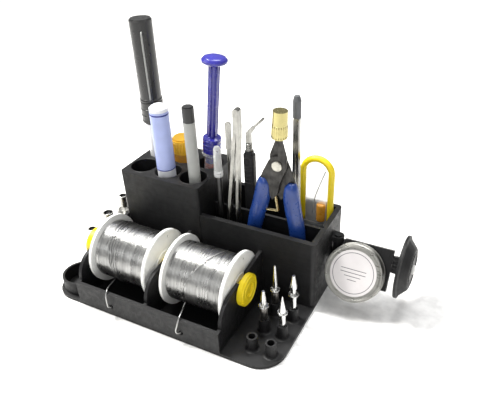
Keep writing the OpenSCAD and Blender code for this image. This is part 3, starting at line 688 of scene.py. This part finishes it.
def make_cutter():
    """Bowed grips in place of the plain handles, the rivet's edge and the sleeve's ribs."""
    for side, sign, body in (("left", -1, "cutter"), ("right", 1, "cutter_half")):
        steps = smooth_path([Vector(row[:3]) for row in GRIP_LINE], 5)
        depths = smooth_path([Vector((row[3], 0, 0)) for row in GRIP_LINE], 5)
        verts, count = [], 28
        for (x, z, wide), (deep, _, _) in zip(steps, depths):
            for k in range(count):
                a = 2 * math.pi * k / count
                c, t = math.cos(a), math.sin(a)
                verts.append(on_cutter(sign * (x + wide * math.copysign(abs(c) ** GRIP_SQUASH, c)),
                                       deep * math.copysign(abs(t) ** GRIP_SQUASH, t), z))
        rings = len(steps)
        faces = [quad if sign < 0 else quad[::-1] for quad in ring_quads(rings, count)]
        top, foot = tuple(range(count)), tuple((rings - 1) * count + k for k in range(count))
        faces.append(top[::-1] if sign < 0 else top)
        faces.append(foot if sign < 0 else foot[::-1])
        grip = new_piece(f"moulded_grip_{side}", verts, faces, BLUE_GRIP, body)
        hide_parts("grip_" + side)
    lathe("rivet_edge", on_cutter(0, -2.78, 0), (0, -1, 0),
                  [(0, 0.0034), (0.00012, 0.0032), (0.00012, 0.0029), (0, 0.0027)], PIN, "cutter",
                  64, (False, False))
    for k in range(20):
        a = 2 * math.pi * k / 20
        points = [on_cutter(r * math.cos(a), r * math.sin(a), z) for z, r in
                  ((19.6, 4.86), (23.5, 4.79), (27.5, 4.72))]
        tube(f"sleeve_rib_{k}", points, [0.00026] * 3, BRASS,
                     "jaw_sleeve", 2, 8, across=(math.cos(a), math.sin(a), 0))


# The case: its middle, where its arch starts and the arch's radius, in mm.
CASE_X, CASE_Y, CASE_TOP, CASE_BAND = 133.4, 106, 82, 10.2


def make_case():
    """The case's bowed rim as one round band, and what shows through its panel."""
    line = [(CASE_X - CASE_BAND, z) for z in (42.6, 56, 70)]
    for k in range(13):
        a = math.pi - math.pi * k / 12
        line.append((CASE_X + CASE_BAND * math.cos(a), CASE_TOP + CASE_BAND * math.sin(a)))
    line += [(CASE_X + CASE_BAND, z) for z in (70, 56, 42.6)]
    rim = tube("case_band", [place(x, CASE_Y, z) for x, z in line], [0.0024] * len(line), YELLOW,
               "case", 3, 20, (1.0, 0.92), (0, 1, 0))
    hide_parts("case_rim")
    crease = [(-2.4, 50), (-0.9, 62), (2.6, 74), (6.1, 84)]
    tube("case_crease", [place(CASE_X + x, CASE_Y - 1, z) for x, z in crease],
                 [0.00035] * 4, LINER_GREY, "case", 4, 8)
    profile = rounded(14 * MM, 3.4 * MM, 1.2 * MM)
    refill = lathe("case_refill", place(CASE_X + 3.6, CASE_Y, 44), (0, 0, 1), profile, AMBER,
                   "case", 40)


def make_small_tools():
    """The hook's grip ribs and ferrule rings, and the scraper's two rings."""
    for k in range(7):
        z = 70 + k * 3.2
        line = [place(88 + 4.05 * x, 95 - 3.05, z) for x in (-0.7, 0, 0.7)]
        band = tube(f"hook_grip_rib_{k}", line, [0.00035] * 3, GRIP_BLACK, "hook", 2, 8)
    for k in range(3):
        ring = lathe(f"hook_ferrule_{k}", place(88, 95, 94.2 + k * 2.0), (0, 0, 1),
                     [(0, 0.0020), (0.0002, 0.0024), (0.0011, 0.0024), (0.0013, 0.0020)],
                     TOOL_STEEL, "hook", 40, (False, False))
    for k, z in enumerate((81.0, 83.0)):
        ring = lathe(f"scraper_ring_{k}", place(72.8, 78, z), (0, 0, 1),
                     [(0, 0.0030), (0.0002, 0.0032), (0.0008, 0.0032), (0.0010, 0.0030)],
                     WHITE_GLOSS, "scraper", 40, (False, False))


def make_tips():
    """Each tip's collar ring, two tips' dark shanks, and each spare barrel's lip, with painted
    shade as a black lining inside its bore.
    """
    sockets = {"tip_bevel": (129, 30, 23.5), "tip_long": (129, 47, 23.5),
               "tip_cone": (142, 30, 23.0), "tip_knife": (142, 47, 24.0)}
    for name, (x, y, z) in sockets.items():
        ring = lathe(name + "_ring", place(x, y, z), (0, 0, 1),
                     [(0.0, 0.0032), (0.0002, 0.0034), (0.0008, 0.0034), (0.0010, 0.0032)],
                     TIP, name, 48, (False, False))
    for name in ("tip_bevel", "tip_long"):
        x, y, z = sockets[name]
        sleeve = lathe(name + "_shank", place(x, y, 13.2), (0, 0, 1),
                       [(0, 0.00215), (0.0001, 0.0024), (z * MM - 0.0140, 0.0024),
                        (z * MM - 0.0136, 0.0021)],
                       TIP_DARK, name, 40, (False, False))
    for name, y, foot, radius in (("barrel_front", 41, 14.5, 2.9), ("barrel_middle", 60, 17.5, 3.7),
                                  ("barrel_rear", 79, 22.0, 2.9)):
        bore_r = (radius - 0.55) * MM
        # A black lining just inside each spare barrel's mouth: painted shade in its hollow bore.
        bore_shade = lathe(name + "_bore_shade", place(-18.5, y, foot + 16.6), (0, 0, 1),
                     [(0, bore_r), (0.0017, bore_r)], LINER_BLACK, name, 40, (True, False))
        lip = lathe(name + "_lip", place(-18.5, y, foot + 18.2), (0, 0, 1),
                    [(0, radius * MM), (0.0001, (radius + 0.15) * MM),
                     (0.0004, (radius + 0.1) * MM), (0.0004, (radius - 0.4) * MM)],
                    BARREL, name, 48, (False, False))


# ---------------------------------------------------------------- printed stand

def make_stand_details():
    """Raised rims round the pen holes, fillets at the sockets' feet, rings on the spindle's end."""
    for row, y in enumerate((75.5, 98.5)):
        for col in range(3):
            x = 11.5 + 21 * col
            lip = lathe(f"hole_lip_{row}_{col}", place(x, y, 76), (0, 0, 1),
                        [(-0.0006, 0.00948), (0.0, 0.0096), (0.00018, 0.0100), (0.0, 0.0104)],
                        BLACK, "stand", 96, (False, False))
    for x in (129, 142):
        for y in (13, 30, 47):
            foot = []
            for k in range(7):
                a = math.pi / 2 * k / 6
                foot.append(((2.5 + 1.5 * (1 - math.sin(a))) * MM,
                             (3.5 + 1.5 * (1 - math.cos(a))) * MM))
            fillet = lathe(f"socket_foot_{x}_{y}", place(x, y, 0), (0, 0, 1), foot, BLACK,
                           "stand", 48, (False, False))
    spindle_at = place(0, SPINDLE_Y, SPINDLE_Z)
    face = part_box("spindle")[1].x
    for name, radius, wide in (("cap_ring_outer", 9.2, 0.4), ("cap_ring_inner", 5.4, 0.5)):
        profile = []
        for k in range(9):
            a = math.pi * k / 8
            profile.append((face - 0.0001 + 0.0005 * math.sin(a),
                            (radius - wide * math.cos(a)) * MM))
        ring = lathe(name, (0, spindle_at.y, spindle_at.z), (1, 0, 0), profile, YELLOW,
                     "spindle", 96, (False, False))


make_camera()
make_stage()
dress_nodes()
make_spools()
make_tin()
make_dish()
make_pens()
make_syringe()
make_cutter()
make_case()
make_small_tools()
make_tips()
make_stand_details()
